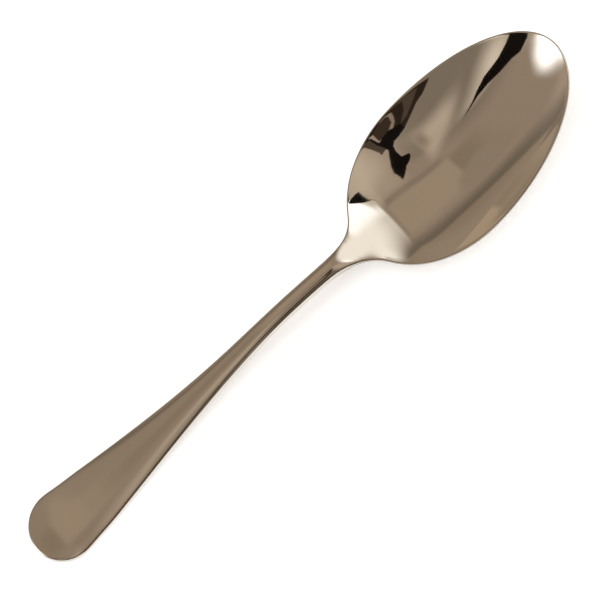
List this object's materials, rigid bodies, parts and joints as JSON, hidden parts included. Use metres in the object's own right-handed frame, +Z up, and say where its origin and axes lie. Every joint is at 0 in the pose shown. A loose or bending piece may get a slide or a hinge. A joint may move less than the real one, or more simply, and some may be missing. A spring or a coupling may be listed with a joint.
{
  "type": "tablespoon",
  "caption": "Polished one-piece steel tablespoon with an oval hollow bowl, a slim arched neck and a tapering handle with a rounded end, for serving and measuring food.",
  "frame": {"origin": "on the table under the middle of the spoon's length and width", "axes": "+X along the spoon to the bowl's tip, +Y across it, +Z up out of the bowl, with the spoon lying on its bowl and the back of its handle's end"},
  "size_m": [0.2106, 0.0508, 0.0225],
  "materials": {
    "polished_steel": "polished"
  },
  "bodies": {
    "root": {"spoon": "polished_steel"}
  },
  "joints": []
}
